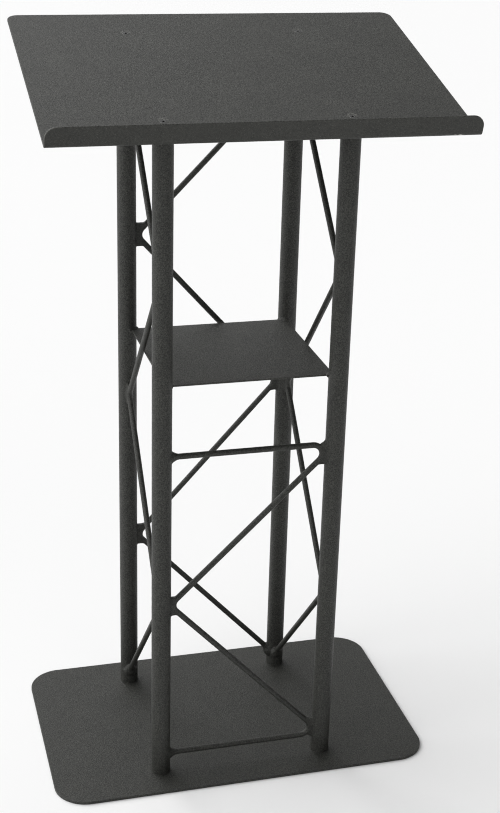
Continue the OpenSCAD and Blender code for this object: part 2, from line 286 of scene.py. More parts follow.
def powder_coat(name, dark, light, speckle=1.0, ripple=0.0, chips_and_glints_at=(), bared_and_highlit_at=()):
    """Fine-textured powder coat: sandy grain in colour, gloss and relief, brighter along edges.

    The grain's colour is partly painted shade of its relief, the glints are painted, and the brighter
    edges are partly wear and partly painted highlight. The last two arguments are places with chips,
    partly painted glints, and with barer edges, partly painted highlight: a point, its reach along
    X, Y and Z, and how bare it is.
    """
    material, tree, place = new_material(name)

    sand = noise(tree, place, SAND_SCALE, 3.0, 0.62)
    crumbs = noise(tree, place, CRUMB_SCALE)
    fine = noise(tree, place, FINE_SCALE)
    patch = noise(tree, place, PATCH_SCALE, 3.0, 0.55)
    cloud = noise(tree, place, CLOUD_SCALE, 3.0, 0.6)

    # Colour: dark hollows and lighter grains, which gather in faint patches; the contrast is partly the
    # coat's grain and partly painted shade of its relief, strongest on faces that lie upwards
    both = blend(tree, sand, crumbs, CRUMB_SHARE)
    grains = value_ramp(tree, both, 0.5 - GRAIN_SPREAD, 0.5 + GRAIN_SPREAD, -0.5, 0.5)
    grains = maths(tree, "MULTIPLY", grains, maths(tree, "MULTIPLY", painted_grain_shade_by_facing(tree), speckle))
    colour = mix_colour(tree, maths(tree, "ADD", grains, 0.5), dark, light)
    tone = value_ramp(tree, patch, 0.3, 0.7, 0.90, 1.10)
    tone = maths(tree, "MULTIPLY", tone, value_ramp(tree, cloud, 0.25, 0.75, 0.93, 1.07))
    colour = add_node(tree, "ShaderNodeVectorMath", {"operation": "SCALE"}, i0=colour, Scale=tone)
    colour = colour.outputs["Vector"]

    # Painted glints: sparse pale grains that stand in for the coat's sparkle highlights
    painted_glint = value_ramp(tree, noise(tree, place, GLINT_SCALE, 1.0), 0.66, 0.74)
    painted_glint = maths(tree, "MULTIPLY", painted_glint, GLINT_SHARE * speckle)
    colour = mix_colour(tree, painted_glint, colour, PAINTED_GLINT_COLOUR)

    # Wear and painted highlight: edges are painted lighter, unevenly, for a coat that is thinner and
    # rubbed there and for the highlight that its rounded edges catch
    rub = value_ramp(tree, noise(tree, place, RUB_SCALE, 4.0, 0.7), 0.36, 0.56)
    worn_and_highlit = maths(tree, "MULTIPLY", edge_mask(tree, WEAR_REACH, 0.22), rub)
    colour = mix_colour(tree, maths(tree, "MULTIPLY", worn_and_highlit, WORN_AND_HIGHLIT_SHARE), colour, RUBBED_AND_HIGHLIGHT_COLOUR)
    # Painted highlight, partly barer coat, along edges at a few places
    for middle, reach, bare in bared_and_highlit_at:
        bared_and_highlit = maths(tree, "MULTIPLY", nearness(tree, place, middle, reach), bare)
        bared_and_highlit = maths(tree, "MULTIPLY", bared_and_highlit, edge_mask(tree, BARE_REACH, 0.12))
        colour = mix_colour(tree, bared_and_highlit, colour, CHIP_AND_HIGHLIGHT_COLOUR)
    # Chips, and pale specks that are partly painted glints
    if chips_and_glints_at:
        colour = mix_colour(tree, chips_and_glints(tree, place, chips_and_glints_at), colour, CHIP_AND_HIGHLIGHT_COLOUR)

    # Gloss: hollows are duller than the tops of the grains, rubbed edges shine
    rough = value_ramp(tree, sand, 0.3, 0.7, HOLLOW_ROUGHNESS, GRAIN_TOP_ROUGHNESS)
    rough = maths(tree, "SUBTRACT", rough, maths(tree, "MULTIPLY", worn_and_highlit, RUBBED_SHINE))

    # Relief
    height = blend(tree, both, fine, FINE_SHARE)
    if ripple:
        height = maths(tree, "ADD", height, maths(tree, "MULTIPLY", cloud, ripple))
    bump = add_node(tree, "ShaderNodeBump", Strength=1.0, Distance=RELIEF, Height=height)

    shader = add_node(tree, "ShaderNodeBsdfPrincipled")
    shader.inputs["Specular IOR Level"].default_value = COAT_SPECULAR
    finish_material(tree, shader, colour, rough, bump)
    return material


def metal(name, dark, light, roughness, turned, metallic=1.0):
    """Bare or oxidised steel, stained, worn at its edges, with marks round Z when turned is set; on the
    screws the pale edges are partly painted glints.
    """
    material, tree, place = new_material(name)
    squashed = add_node(tree, "ShaderNodeMapping", i0=place)
    squashed.inputs["Scale"].default_value = (1.0, 1.0, MARK_SQUASH if turned else 1.0)
    marks = noise(tree, squashed.outputs["Vector"], MARK_SCALE, 3.0, 0.6)
    stain = noise(tree, place, STAIN_SCALE, 3.0, 0.6)
    colour = mix_colour(tree, value_ramp(tree, stain, 0.35, 0.65), dark, light)
    worn_and_highlit = maths(tree, "MULTIPLY", edge_mask(tree, METAL_WEAR_REACH, 0.15), METAL_WORN_AND_GLINT_SHARE)
    colour = mix_colour(tree, worn_and_highlit, colour, WORN_AND_GLINT_METAL_COLOUR)
    rough = value_ramp(tree, marks, 0.3, 0.7, roughness - 0.06, roughness + 0.08)
    bump = add_node(tree, "ShaderNodeBump", Strength=0.25, Distance=METAL_RELIEF, Height=marks)
    shader = add_node(tree, "ShaderNodeBsdfPrincipled", Metallic=metallic)
    finish_material(tree, shader, colour, rough, bump)
    return material


def on_panel(x, along, out):
    """A point in the panel's own axes to the row frame."""
    return panel_matrix @ Vector((x, along, out))


def panel_face_over(x, y):
    """Point of the reading face straight above a point of the floor."""
    z = panel_origin.z + (y - panel_origin.y) * math.tan(PANEL_SLOPE)
    z += PANEL_T / math.cos(PANEL_SLOPE)
    return Vector((x, y, z))


# Chips under the ledge's right end, and faint pale specks round the screws over the tubes, partly
# chipped coat and partly painted glints
CHIP_REACH = (9 * MM, 3.5 * MM, 3.5 * MM)
SPECK_REACH = (9 * MM, 9 * MM, 6 * MM)
SPECK_BARENESS = 0.3
CHIPS_AND_GLINTS_AT = [(on_panel(285 * MM, 1.5 * MM, 1.5 * MM), CHIP_REACH, 1.0)]
for x, y in tube_axis.values():
    CHIPS_AND_GLINTS_AT.append((panel_face_over(x, y), SPECK_REACH, SPECK_BARENESS))

# Painted highlight on the rim, partly barer coat, at the ledge's left corner, and faintly along the
# left edge near the ledge
CORNER_REACH = (24 * MM, 9 * MM, 24 * MM)
SIDE_REACH = (4 * MM, 0.25 * PANEL_LENGTH, 40 * MM)
BARED_AND_HIGHLIT_AT = [
    (on_panel(panel_low.x + 8 * MM, 2 * MM, LEDGE_H - 8 * MM), CORNER_REACH, 0.75),
    (on_panel(panel_low.x, 0.2 * PANEL_LENGTH, 2 * MM), SIDE_REACH, 0.2),
]

# Hollows and grains of the coat
COAT_DARK = (0.0088, 0.0092, 0.0079, 1)
COAT_LIGHT = (0.0465, 0.0475, 0.0415, 1)
# The panel's coat is a painted lit copy of the frame's: its lighter grains paint the extra light on the
# panel
PANEL_LIGHT_PAINTED_LIT = (0.0505, 0.0515, 0.0450, 1)
FRAME_COAT = powder_coat("frame_powder_coat", COAT_DARK, COAT_LIGHT)
PANEL_COAT_PAINTED_LIT = powder_coat("panel_powder_coat_painted_lit", COAT_DARK, PANEL_LIGHT_PAINTED_LIT,
                         chips_and_glints_at=CHIPS_AND_GLINTS_AT, bared_and_highlit_at=BARED_AND_HIGHLIT_AT)
WELD_COAT = powder_coat("weld_powder_coat", COAT_DARK, COAT_LIGHT, speckle=0.8, ripple=2.5)
BARE_STEEL = metal("turned_steel", (0.42, 0.41, 0.39, 1), (0.60, 0.59, 0.57, 1), 0.36, True)
# The screws' pale head edges are partly wear and partly painted glints
SCREW_BLACK = metal("black_oxide", (0.018, 0.018, 0.018, 1), (0.040, 0.040, 0.039, 1), 0.42, False,
                    metallic=0.3)


# ---------------------------------------------------------------- mesh helpers
SHARP_ANGLE = math.radians(35.0)
EDGE_STEPS = 4                 # faces across the quarter round of a plate's edge
ROUND_POINTS = 48              # points round a screw or a hole


def add_piece(name, mesh, material, stands_for):
    """Puts a finished mesh in the scene as the visible piece for a CAD node."""
    piece = bpy.data.objects.new(name, mesh)
    bpy.context.scene.collection.objects.link(piece)
    mesh.materials.append(material)
    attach(piece, "root")
    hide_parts(stands_for)
    return piece


def finish_mesh(name, bm):
    bmesh.ops.recalc_face_normals(bm, faces=bm.faces)
    mesh = bpy.data.meshes.new(name)
    bm.to_mesh(mesh)
    bm.free()
    mesh.shade_smooth()
    mesh.set_sharp_from_angle(angle=SHARP_ANGLE)
    return mesh


def weight_normals(piece):
    """Flat faces keep their own normal, and narrow roundings blend between them."""
    modifier = piece.modifiers.new("weighted_normals", "WEIGHTED_NORMAL")
    modifier.mode = "FACE_AREA"
    modifier.weight = 100
    modifier.keep_sharp = True


def inset_loop(loop, amount):
    """Moves a closed counter-clockwise 2D loop inwards, mitred at its corners."""
    points = np.array(loop, float)
    before = points - np.roll(points, 1, 0)
    after = np.roll(points, -1, 0) - points
    normals = []
    for edge in (before, after):
        edge = edge / np.linalg.norm(edge, axis=1)[:, None]
        normals.append(np.stack([edge[:, 1], -edge[:, 0]], 1))
    mean = normals[0] + normals[1]
    mean = mean / np.linalg.norm(mean, axis=1)[:, None]
    spread = np.sum(mean * normals[0], axis=1)
    return points - mean * (amount / spread)[:, None]


def slab(loop, thickness, edge_r, bottom=0.0):
    """Closed plate over a 2D loop, with its upper and lower rims rounded."""
    rings = []
    for step in range(EDGE_STEPS + 1):
        angle = math.pi / 2 * step / EDGE_STEPS
        rings.append((edge_r * (1 - math.sin(angle)), bottom + edge_r * (1 - math.cos(angle))))
    for inset, height in reversed(rings[:]):
        rings.append((inset, 2 * bottom + thickness - height))
    bm = bmesh.new()
    loops = []
    for inset, height in rings:
        flat = inset_loop(loop, inset)
        loops.append([bm.verts.new((x, y, height)) for x, y in flat])
    bm.faces.new(list(reversed(loops[0])))
    bm.faces.new(loops[-1])
    count = len(loop)
    for lower, upper in zip(loops, loops[1:]):
        for i in range(count):
            j = (i + 1) % count
            bm.faces.new((lower[i], lower[j], upper[j], upper[i]))
    return bm


def arc(cx, cy, radius, start, end, steps):
    """Points along an arc, angles in degrees."""
    points = []
    for step in range(steps + 1):
        angle = math.radians(start + (end - start) * step / steps)
        points.append((cx + radius * math.cos(angle), cy + radius * math.sin(angle)))
    return points


def rounded_rectangle(half_w, low, high, r_low, r_high, steps=20):
    """Counter-clockwise loop, with one radius for the low corners and one for the high ones."""
    loop = arc(half_w - r_low, low + r_low, r_low, -90, 0, steps)
    loop += arc(half_w - r_high, high - r_high, r_high, 0, 90, steps)
    loop += arc(-half_w + r_high, high - r_high, r_high, 90, 180, steps)
    loop += arc(-half_w + r_low, low + r_low, r_low, 180, 270, steps)
    return loop


def circle(r):
    return lambda angle: r


def lathe_rings(bm, rings, matrix):
    """Skins rings of (radius function, height) round local Z, closed at both ends."""
    count = ROUND_POINTS
    loops = []
    for radius, height in rings:
        loop = []
        for i in range(count):
            angle = 2 * math.pi * i / count
            r = radius(angle)
            point = Vector((r * math.cos(angle), r * math.sin(angle), height))
            loop.append(bm.verts.new(matrix @ point))
        loops.append(loop)
    for a, b in zip(loops, loops[1:]):
        for i in range(count):
            j = (i + 1) % count
            bm.faces.new((a[i], a[j], b[j], b[i]))
    bm.faces.new(list(reversed(loops[0])))
    bm.faces.new(loops[-1])


def cut_holes(piece, matrices):
    """Cuts countersunk clearance holes, softened at the mouth by the coat, along each matrix's -Z."""
    wide = SCREW_HEAD_R + SCREW_HOLE_GAP
    narrow = SCREW_SHANK_R + SCREW_HOLE_GAP
    softened = 0.45 * MM
    land = 0.30 * MM
    rings = [
        (circle(wide + softened), 0.5 * MM),
        (circle(wide + softened), 0.0),
        (circle(wide + 0.18 * MM), -0.08 * MM),
        (circle(wide), -land),
        (circle(narrow), -land - (wide - narrow)),
        (circle(narrow), -9 * MM),
    ]
    bm = bmesh.new()
    for matrix in matrices:
        lathe_rings(bm, rings, matrix)
    bmesh.ops.recalc_face_normals(bm, faces=bm.faces)
    mesh = bpy.data.meshes.new("cutter")
    bm.to_mesh(mesh)
    bm.free()
    cutter = bpy.data.objects.new("cutter", mesh)
    bpy.context.scene.collection.objects.link(cutter)
    modifier = piece.modifiers.new("holes", "BOOLEAN")
    modifier.operation = "DIFFERENCE"
    modifier.solver = "EXACT"
    modifier.object = cutter
    bpy.context.view_layer.update()
    solved = piece.evaluated_get(bpy.context.evaluated_depsgraph_get())
    result = bpy.data.meshes.new_from_object(solved)
    piece.modifiers.remove(modifier)
    old = piece.data
    piece.data = result
    bpy.data.meshes.remove(old)
    bpy.data.objects.remove(cutter)
    result.shade_smooth()
    result.set_sharp_from_angle(angle=SHARP_ANGLE)


# ---------------------------------------------------------------- plates
def panel_screw_matrices():
    """Frames of the four panel screws: origin in the panel's face, Z out of it."""
    matrices = []
    for x in (-1, 1):
        for y in (-1, 1):
            along = (y * HALF_Y - panel_origin.y) / math.cos(PANEL_SLOPE)
            along += (PANEL_T - SCREW_AXIS_DEPTH) * math.tan(PANEL_SLOPE)
            matrices.append(panel_matrix @ Matrix.Translation((x * HALF_X, along, PANEL_T)))
    return matrices


def base_screw_matrices():
    """Frames of the four floor-plate screws: origin in the underside, Z down."""
    flip = Matrix.Rotation(math.pi, 4, "X")
    matrices = []
    for x in (-1, 1):
        for y in (-1, 1):
            matrices.append(Matrix.Translation((x * HALF_X, y * HALF_Y, 0)) @ flip)
    return matrices


def build_base_plate():
    low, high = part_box("base_plate")
    loop = rounded_rectangle(high.x, low.y, high.y, BASE_CORNER_R, BASE_CORNER_R, 28)
    mesh = finish_mesh("base_plate_coated", slab(loop, high.z - low.z, EDGE_R, low.z))
    piece = add_piece("base_plate_coated", mesh, FRAME_COAT, "base_plate")
    cut_holes(piece, base_screw_matrices())
    weight_normals(piece)


BEND_LENGTH = math.pi / 2 * (PANEL_BEND_R - PANEL_T / 2)      # of the sheet's middle round the bend
BEND_STEPS = 12
BISECT_REACH = 1e-7            # points this near a cut count as on it


def bend_panel(co):
    """Flat sheet (x, along, height) to the panel's own axes, with the ledge bent up."""
    if co.y >= 0:
        return Vector((co.x, PANEL_BEND_R + co.y, co.z))
    if co.y >= -BEND_LENGTH:
        angle = -co.y / BEND_LENGTH * math.pi / 2
        reach = PANEL_BEND_R - co.z
        along = PANEL_BEND_R - reach * math.sin(angle)
        return Vector((co.x, along, PANEL_BEND_R - reach * math.cos(angle)))
    return Vector((co.x, co.z, PANEL_BEND_R - co.y - BEND_LENGTH))


def build_top_panel():
    lowest = -(BEND_LENGTH + LEDGE_H - PANEL_BEND_R)
    highest = PANEL_LENGTH - PANEL_BEND_R
    loop = rounded_rectangle(panel_high.x, lowest, highest, LEDGE_CORNER_R, PANEL_CORNER_R)
    bm = slab(loop, PANEL_T, EDGE_R)
    for step in range(BEND_STEPS + 1):
        everything = bm.verts[:] + bm.edges[:] + bm.faces[:]
        cut = (0, -BEND_LENGTH * step / BEND_STEPS, 0)
        bmesh.ops.bisect_plane(bm, geom=everything, dist=BISECT_REACH, plane_co=cut, plane_no=(0, 1, 0))
    for vert in bm.verts:
        vert.co = panel_matrix @ bend_panel(vert.co)
    mesh = finish_mesh("top_panel_coated", bm)
    piece = add_piece("top_panel_coated", mesh, PANEL_COAT_PAINTED_LIT, "top_panel")
    cut_holes(piece, panel_screw_matrices())
    weight_normals(piece)


def shelf_loop(half_w, half_d):
    """Rectangle whose corners are notched round the tubes, counter-clockwise."""
    radius = TUBE_R + WELD_GAP
    loop = []
    for x, y in ((1, -1), (1, 1), (-1, 1), (-1, -1)):
        cx, cy = x * HALF_X, y * HALF_Y
        on_side = (x * half_w, cy - y * math.sqrt(radius ** 2 - (cx - x * half_w) ** 2))
        on_end = (cx - x * math.sqrt(radius ** 2 - (cy - y * half_d) ** 2), y * half_d)
        first, last = (on_end, on_side) if x * y < 0 else (on_side, on_end)
        start = math.degrees(math.atan2(first[1] - cy, first[0] - cx))
        end = math.degrees(math.atan2(last[1] - cy, last[0] - cx))
        sweep = (end - start + 180) % 360 - 180
        loop += arc(cx, cy, radius, start, start + sweep, 16)
    return loop


def build_shelf():
    low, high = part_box("shelf_plate")
    loop = shelf_loop(high.x, high.y)
    mesh = finish_mesh("shelf_coated", slab(loop, high.z - low.z, SHELF_EDGE_R, low.z))
    # The shelf takes the panel's painted lit copy of the coat
    piece = add_piece("shelf_coated", mesh, PANEL_COAT_PAINTED_LIT, "shelf_plate")
    weight_normals(piece)


# ---------------------------------------------------------------- screws
def hexagon(scale=1.0):
    def radius(angle):
        within = angle % (math.pi / 3) - math.pi / 6
        return scale * SOCKET_FLATS / 2 / math.cos(within)
    return radius


def build_screws(name, stands_for, matrices):
    cone = SCREW_HEAD_R - SCREW_SHANK_R
    rings = [
        (circle(0.3 * MM), -SOCKET_DEPTH - 0.5 * MM),
        (hexagon(), -SOCKET_DEPTH),
        (hexagon(), -0.22 * MM),
        (hexagon(1.12), 0.0),
        (circle(SCREW_HEAD_R - 0.45 * MM), 0.0),
        (circle(SCREW_HEAD_R - 0.15 * MM), -0.06 * MM),
        (circle(SCREW_HEAD_R), -0.2 * MM),
        (circle(SCREW_HEAD_R), -SCREW_LAND - 0.1 * MM),
        (circle(SCREW_SHANK_R), -SCREW_LAND - cone),
        (circle(SCREW_SHANK_R), -SCREW_LENGTH + 0.6 * MM),
        (circle(SCREW_SHANK_R - 0.6 * MM), -SCREW_LENGTH),
    ]
    bm = bmesh.new()
    for matrix in matrices:
        lathe_rings(bm, rings, matrix)
    mesh = finish_mesh(name, bm)
    add_piece(name, mesh, SCREW_BLACK, stands_for)


# ---------------------------------------------------------------- bent bars
BAR_POINTS = 28                # points round a bar
BEND_STEP_DEGREES = 5


def turn_at(points, i):
    """Signed turn of the route at corner i, in radians."""
    before = math.atan2(points[i][1] - points[i - 1][1], points[i][0] - points[i - 1][0])
    after = math.atan2(points[i + 1][1] - points[i][1], points[i + 1][0] - points[i][0])
    return (after - before + math.pi) % (2 * math.pi) - math.pi


def rounded_route(points, radii):
    """2D points along the centre line, with each corner rounded to its radius."""
    route = [Vector(points[0])]
    for i in range(1, len(points) - 1):
        corner = Vector(points[i])
        into = (corner - Vector(points[i - 1])).normalized()
        turn = turn_at(points, i)
        side = 1 if turn > 0 else -1
        setback = radii[i] * math.tan(abs(turn) / 2)
        centre = corner - into * setback + Vector((-into.y, into.x)) * side * radii[i]
        spoke = corner - into * setback - centre
        steps = max(6, int(math.degrees(abs(turn)) / BEND_STEP_DEGREES))
        for step in range(steps + 1):
            angle = turn * step / steps
            c, s = math.cos(angle), math.sin(angle)
            route.append(centre + Vector((spoke.x * c - spoke.y * s, spoke.x * s + spoke.y * c)))
    route.append(Vector(points[-1]))
    return route


def trim_to_tubes(route):
    """Moves the two ends of a route from the tubes' axes to just inside their walls."""
    reach = TUBE_R - BAR_END_SINK
    for end, inner in ((0, 1), (-1, -2)):
        run = route[inner] - route[end]
        route[end] = route[end] + run * (reach / abs(run.x))
    return route


def zigzag_corner(half, gap):
    """Where the straight runs of a square bend would meet, beside a tube at half."""
    return half - TOUCH_GAP - gap + ROD_BEND_R * (1 / math.sin(math.pi / 4) - 1)


def rail_corner(half, half_angle):
    """The same for the bend between a rail and its diagonal."""
    return half - TOUCH_GAP + RAIL_BEND_R * (1 / math.tan(half_angle) - 1)


def zigzag_route(half):
    corner = zigzag_corner(half, BEND_GAP)
    points = [
        (half, ROD_START_Z - (half - corner)),
        (-corner, ROD_BEND_Z[0]),
        (corner, ROD_BEND_Z[1]),
        (-corner, ROD_BEND_Z[2]),
        (half, ROD_END_Z + (half - corner)),
    ]
    return points, [0, ROD_BEND_R, ROD_BEND_R, ROD_BEND_R, 0]


def front_route():
    corner = zigzag_corner(HALF_X, 0.0)
    rail_z = ROD_BEND_Z[1]
    low_half_angle = math.atan2(FRONT_BEND_Z - ROD_START_Z, HALF_X + corner) / 2
    high_half_angle = math.atan2(rail_z - FRONT_BEND_Z, HALF_X + corner) / 2
    points = [
        (-HALF_X, ROD_START_Z),
        (rail_corner(HALF_X, low_half_angle), ROD_START_Z),
        (-corner, FRONT_BEND_Z),
        (rail_corner(HALF_X, high_half_angle), rail_z),
        (-HALF_X, rail_z),
    ]
    return points, [0, RAIL_BEND_R, ROD_BEND_R, RAIL_BEND_R, 0]


def place_on_face(face, point):
    """A face's drawing (across, height) to a point in the row frame."""
    across, height = point
    if face == "rear":
        return Vector((across, HALF_Y, height))
    if face == "front":
        return Vector((across, -HALF_Y, height))
    return Vector((-HALF_X if face == "left" else HALF_X, across, height))


def build_bar(face, route):
    """Sweeps a round section along a route that lies in one upright plane."""
    path = [place_on_face(face, p) for p in route]
    square_to_face = Vector((0, 1, 0)) if face in ("front", "rear") else Vector((1, 0, 0))
    bm = bmesh.new()
    loops = []
    for i, point in enumerate(path):
        ahead = path[min(i + 1, len(path) - 1)]
        behind = path[max(i - 1, 0)]
        tangent = (ahead - behind).normalized()
        other = tangent.cross(square_to_face)
        loop = []
        for k in range(BAR_POINTS):
            angle = 2 * math.pi * k / BAR_POINTS
            spoke = math.cos(angle) * square_to_face + math.sin(angle) * other
            loop.append(bm.verts.new(point + ROD_R * spoke))
        loops.append(loop)
    for a, b in zip(loops, loops[1:]):
        for k in range(BAR_POINTS):
            j = (k + 1) % BAR_POINTS
            bm.faces.new((a[k], a[j], b[j], b[k]))
    bm.faces.new(list(reversed(loops[0])))
    bm.faces.new(loops[-1])
    name = face + "_bar_coated"
    mesh = finish_mesh(name, bm)
    add_piece(name, mesh, FRAME_COAT, face + "_truss_rod")
    return path


# ---------------------------------------------------------------- welds
def surface_net(values, origin, step):
    """Quads of the zero surface of a sampled distance field (inside is negative)."""
    shape = values.shape
    total = np.zeros([n - 1 for n in shape] + [3])
    count = np.zeros([n - 1 for n in shape])
    crossings = []
    for axis in range(3):
        low = [slice(None)] * 3
        high = [slice(None)] * 3
        low[axis] = slice(0, -1)
        high[axis] = slice(1, None)
        a = values[tuple(low)]
        b = values[tuple(high)]
        crossed = (a < 0) != (b < 0)
        share = np.where(crossed, a / np.where(crossed, a - b, 1.0), 0.0)
        crossings.append((crossed, a < 0))
        others = [k for k in range(3) if k != axis]
        for du in (0, 1):
            for dv in (0, 1):
                pick = [slice(None)] * 3
                pick[others[0]] = slice(du, shape[others[0]] - 1 + du)
                pick[others[1]] = slice(dv, shape[others[1]] - 1 + dv)
                hit = crossed[tuple(pick)]
                grid = np.indices(hit.shape).astype(float)
                grid[axis] += share[tuple(pick)]
                grid[others[0]] += du
                grid[others[1]] += dv
                total += np.moveaxis(grid * hit, 0, -1)
                count += hit
    active = count > 0
    index = np.full(active.shape, -1)
    index[active] = np.arange(active.sum())
    verts = total[active] / count[active][:, None] * step + np.array(origin)
    quads = []
    for axis in range(3):
        crossed, inside = crossings[axis]
        u, v = [(1, 2), (2, 0), (0, 1)][axis]
        cells = np.argwhere(crossed)
        keep = (cells[:, u] > 0) & (cells[:, v] > 0)
        keep &= (cells[:, u] < shape[u] - 1) & (cells[:, v] < shape[v] - 1)
        for cell in cells[keep]:
            ring = []
            for du, dv in ((-1, -1), (0, -1), (0, 0), (-1, 0)):
                at = cell.copy()
                at[u] += du
                at[v] += dv
                ring.append(index[tuple(at)])
            quads.append(ring if inside[tuple(cell)] else ring[::-1])
    return verts, quads


def smooth_union(a, b, width):
    share = np.clip(0.5 + 0.5 * (b - a) / width, 0.0, 1.0)
    return b * (1 - share) + a * share - width * share * (1 - share)


def smooth_overlap(a, b, width):
    return -smooth_union(-a, -b, width)


def distance_to_route(grid, path, radius):
    """Distance from grid points to a round bar along a 3D polyline."""
    best = np.full(grid.shape[:-1], 1.0)
    for start, end in zip(path, path[1:]):
        a = np.array(start)
        run = np.array(end) - a
        share = np.clip(((grid - a) @ run) / max(run @ run, 1e-12), 0.0, 1.0)
        best = np.minimum(best, np.linalg.norm(grid - a - share[..., None] * run, axis=-1))
    return best - radius


def waviness(grid, seed, period):
    """Uneven, repeatable ripple between about -1 and 1."""
    x, y, z = (2 * math.pi * grid[..., k] / period for k in range(3))
    a = np.sin(z + 1.7 * seed + 0.8 * np.sin(0.37 * x + seed))
    b = np.sin(0.61 * x + 2.3 * seed) * np.sin(0.53 * y + 1.1 * seed) * np.sin(0.47 * z + 0.7 * seed)
    return 0.6 * a + 0.6 * b


WELD_STEP = 0.75 * MM
WELD_SINK = 0.12 * MM          # the weld's skin runs this far under the surfaces it joins
WELD_DEPTH = 1.2 * MM          # how deep it goes into a tube's wall
FILLET_REACH = 0.8             # how far a fillet reaches from its corner, as a share of its width
BEND_K = 9.0 * MM              # blend width of the fillet beside a bend
WEB_K = 2.6 * MM               # blend width of a web's own edges
WEB_REACH = 1.5                # how far weld reaches round a web or a cone, as a share of that
WEB_HALF_T = 4.2 * MM
WEB_ROUNDING = 2.0 * MM
END_R = 10.3 * MM              # radius of the cone of weld round a bar's end, at the tube
END_REACH = 9.5 * MM           # and its length along the bar
SHELF_BEAD_K = 6.5 * MM        # blend width of the fillets at the shelf's corners
BEAD_R = 2.4 * MM              # radius of the raised bead on top of them
BEAD_OUT = 0.8 * MM            # its middle is this far from the tube
BEAD_DROP = 1.2 * MM           # and this far under the shelf's face
RIPPLE = 0.22 * MM
RIPPLE_PERIOD = 3.2 * MM
SHELF_SEED = 5                 # keeps the shelf's ripple unlike the bars'
SMOOTHING = 0.35
# Half sizes of the boxes that the welds are drawn in: across the face, through it, up
BEND_BOX = (11 * MM, 13 * MM, 31 * MM)
END_BOX = (16 * MM, 16 * MM, 18 * MM)
SHELF_BOX = (17 * MM, 17 * MM, 7 * MM)
BEND_BOX_OUT = 8 * MM          # middle of a bend's box, out from the tube's wall
END_BOX_OUT = 4 * MM           # middle of an end's box, along the bar
BEND_PATH_REACH = 90 * MM      # the stretch of bar, up and down, that a bend's weld can touch
# Heights of the webs above and below each bend of a zigzag bar, and of the front bar's middle bend
ZIGZAG_WEBS = [(20.4 * MM, 18.5 * MM), (20 * MM, 17 * MM), (20.5 * MM, 19.5 * MM)]
FRONT_WEBS = (14.5 * MM, 18 * MM)
WEB_WIDENING = 0.75            # a zigzag web's reach from the tube, as a share of its height
# Ends of a rail bend's webs, from the middle of the bend: height on the tube, then height at the
# bar and its distance from the tube
RAIL_WEB = (22 * MM, 16 * MM, 8.5 * MM)        # between the tube and the rail
RAIL_LEG_WEB = (18 * MM, 18 * MM, 11 * MM)     # between the tube and the diagonal


def weld_grid(centre, half):
    low = np.array(centre) - np.array(half)
    counts = np.ceil(2 * np.array(half) / WELD_STEP).astype(int) + 1
    cells = np.indices(counts).astype(float)
    return low, np.moveaxis(cells, 0, -1) * WELD_STEP + low


def fillet(a, b, width):
    """Weld metal in the corner between two bodies, sunk a little into both."""
    near_corner = np.abs(a - b) - FILLET_REACH * width
    return np.maximum(smooth_union(a, b, width) + WELD_SINK, near_corner)


class WeldSet:
    """All the welds of one bar or of the shelf, gathered in one mesh."""

    def __init__(self):
        self.verts = []
        self.faces = []
        self.seed = 0.0

    def add(self, low, field):
        verts, quads = surface_net(field, low, WELD_STEP)
        start = len(self.verts)
        self.verts += [tuple(v) for v in verts]
        self.faces += [[start + k for k in quad] for quad in quads]
        self.seed += 1.0

    def build(self, name, stands_for):
        mesh = bpy.data.meshes.new(name)
        mesh.from_pydata(self.verts, [], self.faces)
        mesh.validate()
        bm = bmesh.new()
        bm.from_mesh(mesh)
        for _ in range(2):
            bmesh.ops.smooth_vert(bm, verts=bm.verts, factor=SMOOTHING, use_axis_x=True,
                                  use_axis_y=True, use_axis_z=True)
        bm.to_mesh(mesh)
        bm.free()
        mesh.shade_smooth()
        add_piece(name, mesh, WELD_COAT, stands_for)


def tube_distance(grid, axis):
    return np.hypot(grid[..., 0] - axis[0], grid[..., 1] - axis[1]) - TUBE_R


def off_plane(grid, face):
    """How far grid points stand off the plane of a face."""
    at = place_on_face(face, (0, 0))
    return np.abs(grid[..., 1] - at.y) if face in ("front", "rear") else np.abs(grid[..., 0] - at.x)


def tube_at(face, side):
    """Axis of the tube on the + or - side of a face's drawing."""
    at = place_on_face(face, (side * (HALF_X if face in ("front", "rear") else HALF_Y), 0))
    return at.x, at.y


def half_size(face, across, depth, height):
    return (across, depth, height) if face in ("front", "rear") else (depth, across, height)


def line_distance(out, up, start, end):
    """Distance from a line in a face's plane, positive on the right of the way from start to end."""
    run = Vector(end) - Vector(start)
    run.normalize()
    return (out - start[0]) * run.y - (up - start[1]) * run.x


def zigzag_web(height):
    """A web as high at the bar as on the tube, and its reach."""
    return height, height, WEB_WIDENING * height


def web_distance(out, up, web):
    """Flat web between the tube and one leg of a bend: out from the tube's axis, up from the bend."""
    on_tube, on_bar, reach = web
    corner = (TUBE_R + reach, on_bar)
    leg = line_distance(out, up, (TOUCH_GAP, 0.0), corner)
    end = line_distance(out, up, corner, (TUBE_R, on_tube))
    return np.maximum(smooth_overlap(leg, end, WEB_ROUNDING), -up)


